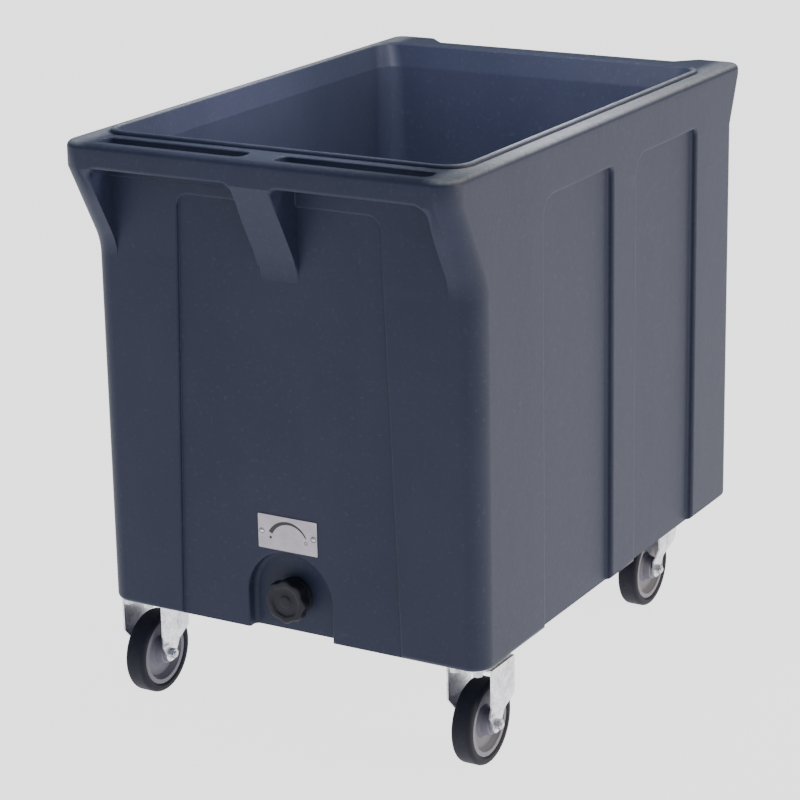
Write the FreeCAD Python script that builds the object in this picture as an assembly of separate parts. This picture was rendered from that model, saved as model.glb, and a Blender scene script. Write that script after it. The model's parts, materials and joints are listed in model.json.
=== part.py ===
import FreeCAD, Part
import math
import os

from FreeCAD import Vector

# Wheeled open-top insulated tote with a front drain valve.
# Millimetres. +Z up, -Y is the front (the drain end), +X is the right-hand side.
# The origin is on the floor, under the middle of the overall box.

# ---------------------------------------------------------------- driving dimensions
WIDTH = 628.0                # side wall to side wall
DEPTH = 946.0                # front edge of the grab ledge to the rear corner ears
RIM_Z = 866.0                # top of the rim
BASE_Z = 160.0               # underside of the tub
LIP_HEIGHT = 6.0             # raised bead round the opening
FRONT_OVERHANG = 67.0        # grab ledge, ahead of the front wall
BACK_OVERHANG = 31.0         # corner ears, behind the rear wall
CORNER_R = 32.0              # upright corners of the tub

SKIN = 4.0                   # moulded skin of the double wall
PANEL_DEPTH = 9.0            # side panels, pressed in
FRONT_PANEL_DEPTH = 5.0      # front panel, pressed in

WHEEL_D = 125.0              # castor wheel over the tread
WHEEL_W = 32.0               # castor wheel tread width
CASTOR_TRAIL = 38.0          # rear castors: swivel axis to axle
FRONT_WHEEL_X = 277.0
FRONT_WHEEL_Y = -344.0
REAR_WHEEL_X = 225.0
REAR_WHEEL_Y = 307.0

DRAIN_Z = 215.0              # drain valve axis
DRAIN_RECESS_R = 70.0
DRAIN_RECESS_DEPTH = 23.0
KNOB_R = 33.0
KNOB_LOBES = 8
VALVE_TURN = 150.0           # knob turn from closed to fully open, degrees

# ---------------------------------------------------------------- worked-out places
HALF_W = WIDTH / 2
FRONT_Y = -DEPTH / 2                      # front edge of the ledge
BACK_Y = DEPTH / 2                        # back edge of the ears
WALL_FRONT_Y = FRONT_Y + FRONT_OVERHANG   # outer face of the front wall
WALL_BACK_Y = BACK_Y - BACK_OVERHANG      # outer face of the rear wall
TOP_Z = RIM_Z + LIP_HEIGHT
AXLE_Z = WHEEL_D / 2
RECESS_Y = WALL_FRONT_Y + DRAIN_RECESS_DEPTH
PANEL_Y = WALL_FRONT_Y + FRONT_PANEL_DEPTH

# Ledge, gussets and hand slots
LEDGE_Z = 830.0              # underside of the grab ledge
GUSSET_Z = 708.0             # where the gussets run out on the front wall
GUSSET_CORNER_X = 268.0      # inner edge of the two corner gussets
GUSSET_MID_X = 31.5          # half width of the middle gusset
SLOT_X = (25.0, 264.0)       # one hand slot, mirrored for the other
SLOT_Y = (-452.0, -421.0)
SLOT_R = 11.0
POCKET_R = 16.0              # top outer corners of the grip pockets
POCKET_MID_R = 4.0

# Rear ears
EAR_Z = 850.0                # underside of the ears at their back edge
EAR_FOOT_Z = 775.0           # where their gussets run out on the rear wall
EAR_X = (207.0, 238.0)       # foot and top of an ear's slanted inner end
EAR_CORNER_R = 20.0

# Opening: rim, crease and floor sections as (z, half width, front y, back y, corner radius)
MOUTH = (TOP_Z, 279.0, -397.0, 370.0, 30.0)
CREASE = (836.0, 270.0, -375.0, 362.0, 34.0)
FLOOR = (186.0, 252.0, -345.0, 338.0, 50.0)
LIP_WIDTH = 10.0

# Pressed panels
SIDE_PANELS = ((-214.0, 4.0), (85.0, 298.0))     # y range of each side panel
PANEL_TOP_Z = 792.0
PANEL_R = 22.0
FRONT_PANEL_TOP = 163.0      # half width of the front panel at its top
FRONT_PANEL_FOOT = 184.0     # half width of the front panel at its foot

# Castors
PLATE_SIZE = (60.0, 100.0, 3.0)
PLATE_R = 14.0
BOLT_GRID = (18.0, 42.0)     # half spacings of the four castor bolts
BOLT_R = 4.0
PLATE_BOTTOM = BASE_Z - PLATE_SIZE[2]
INSERT_R = 6.5
INSERT_LENGTH = 18.0
BOSS_R = 12.0                # solid moulding round each insert
BOSS_HEIGHT = 22.0
BOLT_REACH = 15.0            # how far a bolt goes up into its insert
BOLT_HEAD = 5.5
NUT_HEIGHT = 7.0
HEX_ACROSS = 13.0
WASHER = 1.6
SHEET = 2.5                  # pressed sheet of the forks
FORK_SPAN = 90.0             # half extent of the blocks that cut a fork's outline
FORK_BEND_Z = 100.0          # where the legs of a fork turn in
FORK_HUB_X = 26.0            # outside of a fork leg at the axle
FORK_TOP_X = 36.0            # outside of a fork leg at the crown
FORK_HALF_Y = 34.0           # half the length of a fork leg along the wheel, at its top
FORK_EYE_R = 13.0            # rounded foot of a fork leg, round the axle
HEAD_R = 34.0                # swivel head
CROWN_R = 35.0
BALL_R = 2.5
RACE_R = BALL_R + 0.3
BALL_RING_R = 26.0
BALL_COUNT = 24
RACE_GAP = 3.0
HEAD_Z = 149.0               # underside of the fixed race
KINGPIN_R = 6.0
RUNNING_GAP = 0.06           # radial clearance of the kingpin in the fixed race
END_PLAY = 0.5               # hub to collar, each side
COLLAR_R = 10.0
HUB_HALF = 20.0              # half the hub's length
SLEEVE_R = 7.95              # axle sleeve the bearing runs on
BEARING_BORE_R = 8.0
BEARING_R = 12.0
AXLE_R = 4.0
RIM_R = 50.0                 # wheel centre where the tyre sits

# Drain valve
VALVE_R = 20.0
VALVE_BORE_R = 13.0
PLUG_R = 12.95
STEM_R = 6.0
SPOUT_Y = -362.0
SPOUT_R = 9.5                # hose end of the spout
SPOUT_NECK_R = 9.0           # the rest of it, up through its nut
SPOUT_BORE_R = 7.0
SPOUT_POCKET_R = 17.0
SPOUT_POCKET_Z = 184.0
SPOUT_NUT = 4.5
LOCKNUT_R = 25.0
PAD_Y = FLOOR[2] + 6.0       # flat pad inside the well, where the valve's locknut bears
PAD_HALF = 36.0
BARREL_END_Y = PAD_Y + 9.0
KNOB_FRONT_Y = WALL_FRONT_Y - 9.0

# Label plate
LABEL_SIZE = (98.0, 1.0, 51.0)
LABEL_Z = 313.0
LABEL_SCREW_X = 43.0
LABEL_SCREW_R = 1.4
LABEL_SCREW_BITE = 2.0       # how far the screws go into the wall

CLEAR = 5.0                  # how far a cutting tool runs past the face it cuts


# ---------------------------------------------------------------- shape helpers
def rounded_wire(corners, place):
    """Closed wire through (u, v, radius) corners, each with its own radius. place maps (u, v) to 3-D."""
    count = len(corners)
    ends = []
    for i in range(count):
        u, v, r = corners[i]
        before = corners[i - 1]
        after = corners[(i + 1) % count]
        corner = Vector(u, v, 0)
        to_before = (Vector(before[0], before[1], 0) - corner).normalize()
        to_after = (Vector(after[0], after[1], 0) - corner).normalize()
        half = to_before.getAngle(to_after) / 2
        reach = r / math.tan(half)
        bisector = (to_before + to_after).normalize()
        middle = corner + bisector * (r / math.sin(half) - r)
        ends.append((corner + to_before * reach, middle, corner + to_after * reach, r))
    edges = []
    for i in range(count):
        start, middle, end, r = ends[i]
        following = ends[(i + 1) % count][0]
        if r > 0:
            edges.append(Part.Arc(place(start), place(middle), place(end)).toShape())
        if end.distanceToPoint(following) > 1e-6:
            edges.append(Part.makeLine(place(end), place(following)))
    return Part.Wire(edges)


def prism_z(corners, z0, z1):
    wire = rounded_wire(corners, lambda p: Vector(p.x, p.y, z0))
    return Part.Face(wire).extrude(Vector(0, 0, z1 - z0))


def prism_y(corners, y0, y1):
    """Corners are (x, z, radius)."""
    wire = rounded_wire(corners, lambda p: Vector(p.x, y0, p.y))
    return Part.Face(wire).extrude(Vector(0, y1 - y0, 0))


def prism_x(corners, x0, x1):
    """Corners are (y, z, radius)."""
    wire = rounded_wire(corners, lambda p: Vector(x0, p.x, p.y))
    return Part.Face(wire).extrude(Vector(x1 - x0, 0, 0))


def rectangle(u0, u1, v0, v1, r):
    return [(u0, v0, r), (u1, v0, r), (u1, v1, r), (u0, v1, r)]


def box(x0, x1, y0, y1, z0, z1):
    return Part.makeBox(x1 - x0, y1 - y0, z1 - z0, Vector(x0, y0, z0))


def rod_z(r, x, y, z0, z1):
    return Part.makeCylinder(r, z1 - z0, Vector(x, y, z0), Vector(0, 0, 1))


def rod_y(r, x, z, y0, y1):
    return Part.makeCylinder(r, y1 - y0, Vector(x, y0, z), Vector(0, 1, 0))


def rod_x(r, y, z, x0, x1):
    return Part.makeCylinder(r, x1 - x0, Vector(x0, y, z), Vector(1, 0, 0))


def hexagon(across, u, v):
    """Corners of a hexagon centred on (u, v), given its size across the flats."""
    r = across / math.sqrt(3)
    turns = [math.radians(60 * i) for i in range(6)]
    return [(u + r * math.cos(turn), v + r * math.sin(turn), 0) for turn in turns]


def fused(shapes):
    return shapes[0].multiFuse(shapes[1:]).removeSplitter()


def mirrored(shape):
    return shape.mirror(Vector(0, 0, 0), Vector(1, 0, 0))


def save(node, shape):
    shape.exportStep(os.path.join("parts", node + ".step"))


# ---------------------------------------------------------------- tub
def section_wire(section, grow):
    z, half, y0, y1, r = section
    corners = rectangle(-half - grow, half + grow, y0 - grow, y1 + grow, r + grow)
    return rounded_wire(corners, lambda p: Vector(p.x, p.y, z))


def cavity(grow=0.0, floor_drop=0.0):
    """The space inside the tub: a flared mouth over a tapered well, less the valve's pad."""
    floor = (FLOOR[0] - floor_drop,) + FLOOR[1:]
    space = Part.makeLoft([section_wire(section, grow) for section in (floor, CREASE, MOUTH)], True, True)
    pad = box(-PAD_HALF, PAD_HALF, WALL_FRONT_Y, PAD_Y, FLOOR[0] - 10.0, DRAIN_Z + PAD_HALF)
    return space.cut(pad)


def rim_outline():
    """Plan of the rim, with the ledge at the front and the two ears at the back."""
    return [
        (-HALF_W, FRONT_Y, CORNER_R),
        (HALF_W, FRONT_Y, CORNER_R),
        (HALF_W, BACK_Y, EAR_CORNER_R),
        (EAR_X[1], BACK_Y, 6.0),
        (EAR_X[0], WALL_BACK_Y, 6.0),
        (-EAR_X[0], WALL_BACK_Y, 6.0),
        (-EAR_X[1], BACK_Y, 6.0),
        (-HALF_W, BACK_Y, EAR_CORNER_R),
    ]


def rim_block():
    """Rim band with the ledge's gussets in front and the ears' gussets behind, hand slots open."""
    side = [
        (FRONT_Y, RIM_Z, 0),
        (FRONT_Y, LEDGE_Z, 0),
        (WALL_FRONT_Y, GUSSET_Z, 0),
        (WALL_BACK_Y, GUSSET_Z, 0),
        (WALL_BACK_Y, EAR_FOOT_Z, 0),
        (BACK_Y, EAR_Z, 0),
        (BACK_Y, RIM_Z, 0),
    ]
    plan = prism_z(rim_outline(), GUSSET_Z, RIM_Z)
    block = plan.common(prism_x(side, -HALF_W, HALF_W))
    pocket = grip_pocket()
    return block.cut([pocket, mirrored(pocket)] + hand_slots())


def grip_pocket():
    """Open space under the ledge between two gussets."""
    low = GUSSET_Z - CLEAR
    corners = [
        (GUSSET_MID_X, low, 0),
        (GUSSET_CORNER_X, low, 0),
        (GUSSET_CORNER_X, LEDGE_Z, POCKET_R),
        (GUSSET_MID_X, LEDGE_Z, POCKET_MID_R),
    ]
    return prism_y(corners, FRONT_Y - CLEAR, WALL_FRONT_Y)


def side_panel(y_range, grow=0.0):
    y0, y1 = y_range
    top = PANEL_TOP_Z + grow
    corners = [
        (y0 - grow, BASE_Z - CLEAR, 0),
        (y1 + grow, BASE_Z - CLEAR, 0),
        (y1 + grow, top, PANEL_R),
        (y0 - grow, top, PANEL_R),
    ]
    return prism_x(corners, HALF_W - PANEL_DEPTH - grow, HALF_W + CLEAR)


def front_panel(grow=0.0):
    foot = FRONT_PANEL_FOOT + grow
    head = FRONT_PANEL_TOP + grow
    top = PANEL_TOP_Z + grow
    corners = [
        (-foot, BASE_Z - CLEAR, 0),
        (foot, BASE_Z - CLEAR, 0),
        (head, top, PANEL_R),
        (-head, top, PANEL_R),
    ]
    return prism_y(corners, WALL_FRONT_Y - CLEAR, PANEL_Y + grow)


def drain_recess(grow=0.0):
    r = DRAIN_RECESS_R + grow
    arch = rod_y(r, 0, DRAIN_Z, WALL_FRONT_Y - CLEAR, RECESS_Y + grow)
    foot = box(-r, r, WALL_FRONT_Y - CLEAR, RECESS_Y + grow, BASE_Z - CLEAR, DRAIN_Z)
    return arch.fuse(foot)


def pressed_features(grow=0.0):
    """Everything pressed into the outer skin; grow also thickens the skin behind it."""
    features = [front_panel(grow), drain_recess(grow)]
    for y_range in SIDE_PANELS:
        panel = side_panel(y_range, grow)
        features += [panel, mirrored(panel)]
    return features


def hand_slots():
    corners = rectangle(SLOT_X[0], SLOT_X[1], SLOT_Y[0], SLOT_Y[1], SLOT_R)
    slot = prism_z(corners, LEDGE_Z - CLEAR, RIM_Z + CLEAR)
    return [slot, mirrored(slot)]


def castor_places():
    """(name, plate centre x, plate centre y, axle y, swivels) of each castor."""
    places = []
    for side, sign in (("left", -1), ("right", 1)):
        places.append(("front_" + side, sign * FRONT_WHEEL_X, FRONT_WHEEL_Y, FRONT_WHEEL_Y, False))
        places.append(("back_" + side, sign * REAR_WHEEL_X, REAR_WHEEL_Y + CASTOR_TRAIL, REAR_WHEEL_Y, True))
    return places


def bolt_places():
    places = []
    for name, x, y, axle_y, swivels in castor_places():
        for dx in (-BOLT_GRID[0], BOLT_GRID[0]):
            for dy in (-BOLT_GRID[1], BOLT_GRID[1]):
                places.append((x + dx, y + dy))
    return places


def drain_passages():
    """Holes for the valve through the front wall and for the spout up from the underside."""
    valve = rod_y(VALVE_R, 0, DRAIN_Z, RECESS_Y - CLEAR, PAD_Y + CLEAR)
    pocket = rod_z(SPOUT_POCKET_R, 0, SPOUT_Y, BASE_Z - CLEAR, SPOUT_POCKET_Z)
    riser = rod_z(SPOUT_NECK_R, 0, SPOUT_Y, BASE_Z, DRAIN_Z)
    return [valve, pocket, riser]


def drain_block():
    """Solid moulding left round the drain passages."""
    reach = PAD_HALF + SKIN
    return box(-reach, reach, WALL_FRONT_Y, PAD_Y + SKIN, BASE_Z, DRAIN_Z + reach)


def foam_space():
    """The foam-filled space of the double wall."""
    half = HALF_W - SKIN
    plan = rectangle(-half, half, WALL_FRONT_Y + SKIN, WALL_BACK_Y - SKIN, CORNER_R - SKIN)
    block = prism_z(plan, BASE_Z + SKIN, RIM_Z - SKIN)
    tools = [cavity(SKIN, SKIN), drain_block()] + pressed_features(SKIN)
    tools += [rod_z(BOSS_R, x, y, BASE_Z, BASE_Z + BOSS_HEIGHT) for x, y in bolt_places()]
    return block.cut(tools)


def outer_walls():
    """The four walls and the floor as one plain block."""
    plan = rectangle(-HALF_W, HALF_W, WALL_FRONT_Y, WALL_BACK_Y, CORNER_R)
    return prism_z(plan, BASE_Z, RIM_Z)


def tub_shell(foam):
    """Inner and outer skins of the double wall, with the raised lip round the opening."""
    half, y0, y1, r = MOUTH[1:]
    w = LIP_WIDTH
    lip_plan = rectangle(-half - w, half + w, y0 - w, y1 + w, r + w)
    lip = prism_z(lip_plan, RIM_Z, TOP_Z)
    tools = [cavity(), foam] + pressed_features() + drain_passages() + label_screw_holes()
    tools += [rod_z(INSERT_R, x, y, BASE_Z - CLEAR, BASE_Z + INSERT_LENGTH) for x, y in bolt_places()]
    return fused([outer_walls(), lip]).cut(tools)


def label_screw_holes():
    hole = rod_y(LABEL_SCREW_R, LABEL_SCREW_X, LABEL_Z, PANEL_Y - CLEAR, PANEL_Y + LABEL_SCREW_BITE)
    return [hole, mirrored(hole)]


def overhangs():
    """(grab ledge, corner ears): what stands out past the walls, moulded on."""
    solids = rim_block().cut(outer_walls()).Solids
    ahead = [solid for solid in solids if solid.CenterOfMass.y < 0]
    behind = [solid for solid in solids if solid.CenterOfMass.y > 0]
    return Part.makeCompound(ahead), Part.makeCompound(behind)


def castor_inserts():
    """Blind threaded inserts moulded into the underside."""
    inserts = []
    for x, y in bolt_places():
        barrel = rod_z(INSERT_R, x, y, BASE_Z, BASE_Z + INSERT_LENGTH)
        inserts.append(barrel.cut(rod_z(BOLT_R, x, y, BASE_Z - CLEAR, BASE_Z + INSERT_LENGTH - WASHER)))
    return Part.makeCompound(inserts)


def castor_washers():
    washers = []
    for x, y in bolt_places():
        disc = rod_z(BOLT_R * 2, x, y, PLATE_BOTTOM - WASHER, PLATE_BOTTOM)
        washers.append(disc.cut(rod_z(BOLT_R, x, y, PLATE_BOTTOM - CLEAR, PLATE_BOTTOM + CLEAR)))
    return Part.makeCompound(washers)


def castor_bolts():
    bolts = []
    for x, y in bolt_places():
        seat = PLATE_BOTTOM - WASHER
        head = prism_z(hexagon(HEX_ACROSS, x, y), seat - BOLT_HEAD, seat)
        bolts.append(head.fuse(rod_z(BOLT_R, x, y, seat, BASE_Z + BOLT_REACH)))
    return Part.makeCompound(bolts)


# ---------------------------------------------------------------- drain valve
def valve_body():
    """Flanged barrel through the front wall, with a socket for the spout underneath."""
    barrel = rod_y(VALVE_R, 0, DRAIN_Z, RECESS_Y - 2.0, BARREL_END_Y)
    flange = rod_y(28.0, 0, DRAIN_Z, RECESS_Y - 6.5, RECESS_Y - 1.5)
    body = barrel.fuse(flange)
    bore = rod_y(VALVE_BORE_R, 0, DRAIN_Z, RECESS_Y + 4.0, BARREL_END_Y + 5.0)
    stem_hole = rod_y(STEM_R + 2.0, 0, DRAIN_Z, RECESS_Y - 10.0, RECESS_Y + 5.0)
    socket = rod_z(SPOUT_NECK_R, 0, SPOUT_Y, DRAIN_Z - VALVE_R - 5.0, DRAIN_Z - VALVE_R + 4.5)
    port = rod_z(SPOUT_BORE_R, 0, SPOUT_Y, DRAIN_Z - VALVE_R - 5.0, DRAIN_Z - 5.0)
    return body.cut([bore, stem_hole, socket, port])


def ring_y(outer, inner, y0, y1):
    return rod_y(outer, 0, DRAIN_Z, y0, y1).cut(rod_y(inner, 0, DRAIN_Z, y0 - 1.0, y1 + 1.0))


def outer_gasket():
    return ring_y(27.0, VALVE_R, RECESS_Y - 1.5, RECESS_Y)


def valve_seal():
    """Stem seal, held in the valve body's front bore with running clearance on the stem."""
    return ring_y(STEM_R + 2.0, STEM_R + 0.05, RECESS_Y - 5.0, RECESS_Y + 2.0)


def inner_gasket():
    return ring_y(26.0, VALVE_R, PAD_Y, PAD_Y + 1.5)


def drain_locknut():
    face = PAD_Y + 1.5
    points = []
    for i in range(8):
        turn = math.radians(45 * i + 22.5)
        points.append((LOCKNUT_R * math.cos(turn), DRAIN_Z + LOCKNUT_R * math.sin(turn), 2.0))
    nut = prism_y(points, face, face + 5.0)
    return nut.cut(rod_y(VALVE_R, 0, DRAIN_Z, face - 1.0, face + 6.0))


def drain_strainer():
    """Perforated disc that clips over the inner end of the valve body."""
    y0 = BARREL_END_Y
    disc = rod_y(VALVE_R, 0, DRAIN_Z, y0, y0 + 2.5)
    holes = []
    for radius, count in ((0.0, 1), (6.0, 6), (12.0, 12)):
        for i in range(count):
            turn = 2 * math.pi * i / count
            x = radius * math.cos(turn)
            z = DRAIN_Z + radius * math.sin(turn)
            holes.append(rod_y(1.8, x, z, y0 - CLEAR, y0 + CLEAR))
    return disc.cut(holes)


def drain_spout():
    top = DRAIN_Z - VALVE_R + 4.5
    neck = rod_z(SPOUT_NECK_R, 0, SPOUT_Y, BASE_Z + 1.0, top)
    tube = neck.fuse(rod_z(SPOUT_R, 0, SPOUT_Y, BASE_Z + 1.0, SPOUT_POCKET_Z - SPOUT_NUT))
    return tube.cut(rod_z(SPOUT_BORE_R, 0, SPOUT_Y, BASE_Z, top + 1.0))


def spout_nut():
    nut = prism_z(hexagon(27.0, 0, SPOUT_Y), SPOUT_POCKET_Z - SPOUT_NUT, SPOUT_POCKET_Z)
    return nut.cut(rod_z(SPOUT_NECK_R, 0, SPOUT_Y, SPOUT_POCKET_Z - CLEAR, SPOUT_POCKET_Z + CLEAR))


def valve_plug():
    """Barrel plug and stem. Its side port faces the spout when the knob has turned to fully open."""
    y0 = RECESS_Y + 4.4
    y1 = BARREL_END_Y - 1.0
    plug = rod_y(PLUG_R, 0, DRAIN_Z, y0, y1)
    stem = rod_y(STEM_R, 0, DRAIN_Z, KNOB_FRONT_Y + 6.0, y0 + 1.0)
    bore = rod_y(9.0, 0, DRAIN_Z, SPOUT_Y - 8.0, y1 + 1.0)
    port = rod_z(SPOUT_BORE_R, 0, SPOUT_Y, DRAIN_Z - 20.0, DRAIN_Z)
    port.rotate(Vector(0, 0, DRAIN_Z), Vector(0, 1, 0), VALVE_TURN)
    screw_hole = rod_y(2.0, 0, DRAIN_Z, KNOB_FRONT_Y, KNOB_FRONT_Y + 20.0)
    return plug.fuse(stem).cut([bore, port, screw_hole])


def knob_point(turn, r):
    return Vector(r * math.cos(turn), KNOB_FRONT_Y, DRAIN_Z + r * math.sin(turn))


def knob_profile():
    """Lobed knob outline as arcs: lobes on the outside, hollows between them."""
    hollow_r = KNOB_R * 0.9
    flank_r = (KNOB_R + hollow_r) / 2
    step = math.pi / KNOB_LOBES / 2
    edges = []
    for i in range(KNOB_LOBES):
        start = 4 * step * i
        a = knob_point(start - step, flank_r)
        b = knob_point(start + step, flank_r)
        c = knob_point(start + 3 * step, flank_r)
        edges.append(Part.Arc(a, knob_point(start, KNOB_R), b).toShape())
        edges.append(Part.Arc(b, knob_point(start + 2 * step, hollow_r), c).toShape())
    return Part.Wire(edges)


def drain_knob():
    grip = Part.Face(knob_profile()).extrude(Vector(0, 16.0, 0))
    skirt = rod_y(KNOB_R * 0.62, 0, DRAIN_Z, KNOB_FRONT_Y + 16.0, RECESS_Y - 7.5)
    boss_hole = rod_y(STEM_R, 0, DRAIN_Z, KNOB_FRONT_Y + 6.0, RECESS_Y)
    screw_hole = rod_y(2.5, 0, DRAIN_Z, KNOB_FRONT_Y - 1.0, KNOB_FRONT_Y + 8.0)
    screw_seat = rod_y(5.2, 0, DRAIN_Z, KNOB_FRONT_Y - 1.0, KNOB_FRONT_Y + 3.2)
    return grip.fuse(skirt).cut([boss_hole, screw_hole, screw_seat])


def knob_screw():
    head = rod_y(5.0, 0, DRAIN_Z, KNOB_FRONT_Y + 0.4, KNOB_FRONT_Y + 3.2)
    shank = rod_y(2.0, 0, DRAIN_Z, KNOB_FRONT_Y + 3.0, KNOB_FRONT_Y + 19.0)
    slot = box(-5.0, 5.0, KNOB_FRONT_Y, KNOB_FRONT_Y + 1.6, DRAIN_Z - 0.6, DRAIN_Z + 0.6)
    return head.fuse(shank).cut(slot)


# ---------------------------------------------------------------- label plate
def label_plate():
    w, t, h = LABEL_SIZE
    outline = rectangle(-w / 2, w / 2, LABEL_Z - h / 2, LABEL_Z + h / 2, 1.5)
    plate = prism_y(outline, PANEL_Y - t, PANEL_Y)
    hole = rod_y(LABEL_SCREW_R, LABEL_SCREW_X, LABEL_Z, PANEL_Y - CLEAR, PANEL_Y + CLEAR)
    return plate.cut([hole, mirrored(hole)])


def label_screw(x):
    face = PANEL_Y - LABEL_SIZE[1]
    dome = Part.makeSphere(4.2, Vector(x, face + 2.6, LABEL_Z))
    head = dome.common(rod_y(5.0, x, LABEL_Z, face - 4.0, face))
    return head.fuse(rod_y(LABEL_SCREW_R, x, LABEL_Z, face - 0.5, PANEL_Y + LABEL_SCREW_BITE))


def label_screws():
    return Part.makeCompound([label_screw(-LABEL_SCREW_X), label_screw(LABEL_SCREW_X)])


# ---------------------------------------------------------------- castors
def castor_plate(x, y, swivels):
    w, d = PLATE_SIZE[:2]
    outline = rectangle(x - w / 2, x + w / 2, y - d / 2, y + d / 2, PLATE_R)
    plate = prism_z(outline, PLATE_BOTTOM, BASE_Z)
    for dx in (-BOLT_GRID[0], BOLT_GRID[0]):
        for dy in (-BOLT_GRID[1], BOLT_GRID[1]):
            plate = plate.cut(rod_z(BOLT_R, x + dx, y + dy, PLATE_BOTTOM - CLEAR, BASE_Z + CLEAR))
    if not swivels:
        return plate
    head = Part.makeCone(HEAD_R, HEAD_R - 5.0, PLATE_BOTTOM - HEAD_Z, Vector(x, y, HEAD_Z))
    race = Part.makeTorus(BALL_RING_R, RACE_R, Vector(x, y, HEAD_Z - RACE_GAP / 2))
    bore = rod_z(KINGPIN_R + RUNNING_GAP, x, y, HEAD_Z - CLEAR, PLATE_BOTTOM)
    return plate.fuse(head).cut([race, bore])


def fork_leg_strip():
    """One leg seen from the front: a bent strip of sheet, on the +X side of the wheel."""
    z_low = AXLE_Z - FORK_EYE_R
    z_in = FORK_BEND_Z - 22.0
    outer = [(FORK_HUB_X, z_low), (FORK_HUB_X, z_in), (FORK_TOP_X, FORK_BEND_Z), (FORK_TOP_X, PLATE_BOTTOM)]
    inner = [(u - SHEET, v) for u, v in reversed(outer)]
    corners = [(u, v, 0) for u, v in outer + inner]
    return prism_y(corners, -FORK_SPAN, FORK_SPAN)


def fork_from(crown, outline, x, y):
    """Both legs cut to their side outline, joined to the crown and moved to the wheel at (x, y)."""
    side = prism_x(outline, -FORK_SPAN, FORK_SPAN)
    leg = fork_leg_strip().common(side)
    holes = rod_x(AXLE_R, 0, AXLE_Z, -FORK_SPAN, FORK_SPAN)
    fork = fused([leg, mirrored(leg), crown]).cut(holes)
    fork.translate(Vector(x, y, 0))
    return fork


def rigid_fork(x, y):
    top = PLATE_BOTTOM
    half = [
        (FORK_EYE_R, AXLE_Z - FORK_EYE_R, FORK_EYE_R - 1.0),
        (FORK_EYE_R, AXLE_Z, 4.0),
        (FORK_HALF_Y, FORK_BEND_Z, 6.0),
        (FORK_HALF_Y, top, 0),
    ]
    outline = [(-u, v, r) for u, v, r in reversed(half)] + half
    crown = box(-FORK_TOP_X, FORK_TOP_X, -FORK_HALF_Y, FORK_HALF_Y, top - SHEET, top)
    return fork_from(crown, outline, x, y)


def swivel_fork(x, axle_y):
    """Fork of a rear castor. Its crown is centred on the swivel axis, CASTOR_TRAIL behind the axle."""
    top = HEAD_Z - RACE_GAP
    front = -FORK_EYE_R
    rear = CASTOR_TRAIL + 12.0
    outline = [
        (front + 6.0, top, 0),
        (front, FORK_BEND_Z + 20.0, 20.0),
        (front, AXLE_Z - FORK_EYE_R, FORK_EYE_R - 1.0),
        (FORK_EYE_R, AXLE_Z - FORK_EYE_R, FORK_EYE_R - 1.0),
        (FORK_EYE_R + 3.0, AXLE_Z + 6.0, 8.0),
        (rear, FORK_BEND_Z + 10.0, 25.0),
        (rear, top, 0),
    ]
    disc = rod_z(CROWN_R, 0, CASTOR_TRAIL, top - SHEET, top)
    half = FORK_TOP_X - 1.0
    web = box(-half, half, front + 8.0, rear, top - SHEET, top)
    race = Part.makeTorus(BALL_RING_R, RACE_R, Vector(0, CASTOR_TRAIL, HEAD_Z - RACE_GAP / 2))
    hole = rod_z(KINGPIN_R, 0, CASTOR_TRAIL, top - 2 * SHEET, top + CLEAR)
    crown = disc.fuse(web).cut([race, hole])
    return fork_from(crown, outline, x, axle_y)


def kingpin(x, y):
    """Headed pin: fast in the fork's crown, running in the fixed race."""
    low = HEAD_Z - RACE_GAP - SHEET
    pin = rod_z(KINGPIN_R, x, y, low - 1.0, PLATE_BOTTOM - 1.0)
    return pin.fuse(prism_z(hexagon(17.0, x, y), low - 7.0, low))


def ball_ring(x, y):
    balls = []
    for i in range(BALL_COUNT):
        turn = 2 * math.pi * i / BALL_COUNT
        arm = Vector(BALL_RING_R * math.cos(turn), BALL_RING_R * math.sin(turn), 0)
        balls.append(Part.makeSphere(BALL_R, Vector(x, y, HEAD_Z - RACE_GAP / 2) + arm))
    return Part.makeCompound(balls)


def axle_bolt(x, y):
    seat = x - FORK_HUB_X
    head = prism_x(hexagon(HEX_ACROSS, y, AXLE_Z), seat - BOLT_HEAD, seat)
    return head.fuse(rod_x(AXLE_R, y, AXLE_Z, seat, x + FORK_HUB_X + NUT_HEIGHT + 2.0))


def axle_nut(x, y):
    seat = x + FORK_HUB_X
    nut = prism_x(hexagon(HEX_ACROSS, y, AXLE_Z), seat, seat + NUT_HEIGHT)
    return nut.cut(rod_x(AXLE_R, y, AXLE_Z, x, seat + 2 * NUT_HEIGHT))


def axle_sleeve(x, y):
    """Tube between the fork legs, with a collar at each end. The bearing turns on it."""
    reach = FORK_HUB_X - SHEET
    stop = HUB_HALF + END_PLAY
    tube = rod_x(SLEEVE_R, y, AXLE_Z, x - reach, x + reach)
    left = rod_x(COLLAR_R, y, AXLE_Z, x - reach, x - stop)
    right = rod_x(COLLAR_R, y, AXLE_Z, x + stop, x + reach)
    return tube.multiFuse([left, right]).cut(rod_x(AXLE_R, y, AXLE_Z, x - 2 * reach, x + 2 * reach))


def wheel_bearing(x, y):
    ring = rod_x(BEARING_R, y, AXLE_Z, x - HUB_HALF, x + HUB_HALF)
    return ring.cut(rod_x(BEARING_BORE_R, y, AXLE_Z, x - 2 * HUB_HALF, x + 2 * HUB_HALF))


def turned(profile, x, y):
    """Solid of revolution about the axle from closed (x offset, radius, rounding) corners."""
    wire = rounded_wire(profile, lambda p: Vector(x + p.x, y, AXLE_Z + p.y))
    return Part.Face(wire).revolve(Vector(x, y, AXLE_Z), Vector(1, 0, 0), 360)


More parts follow.
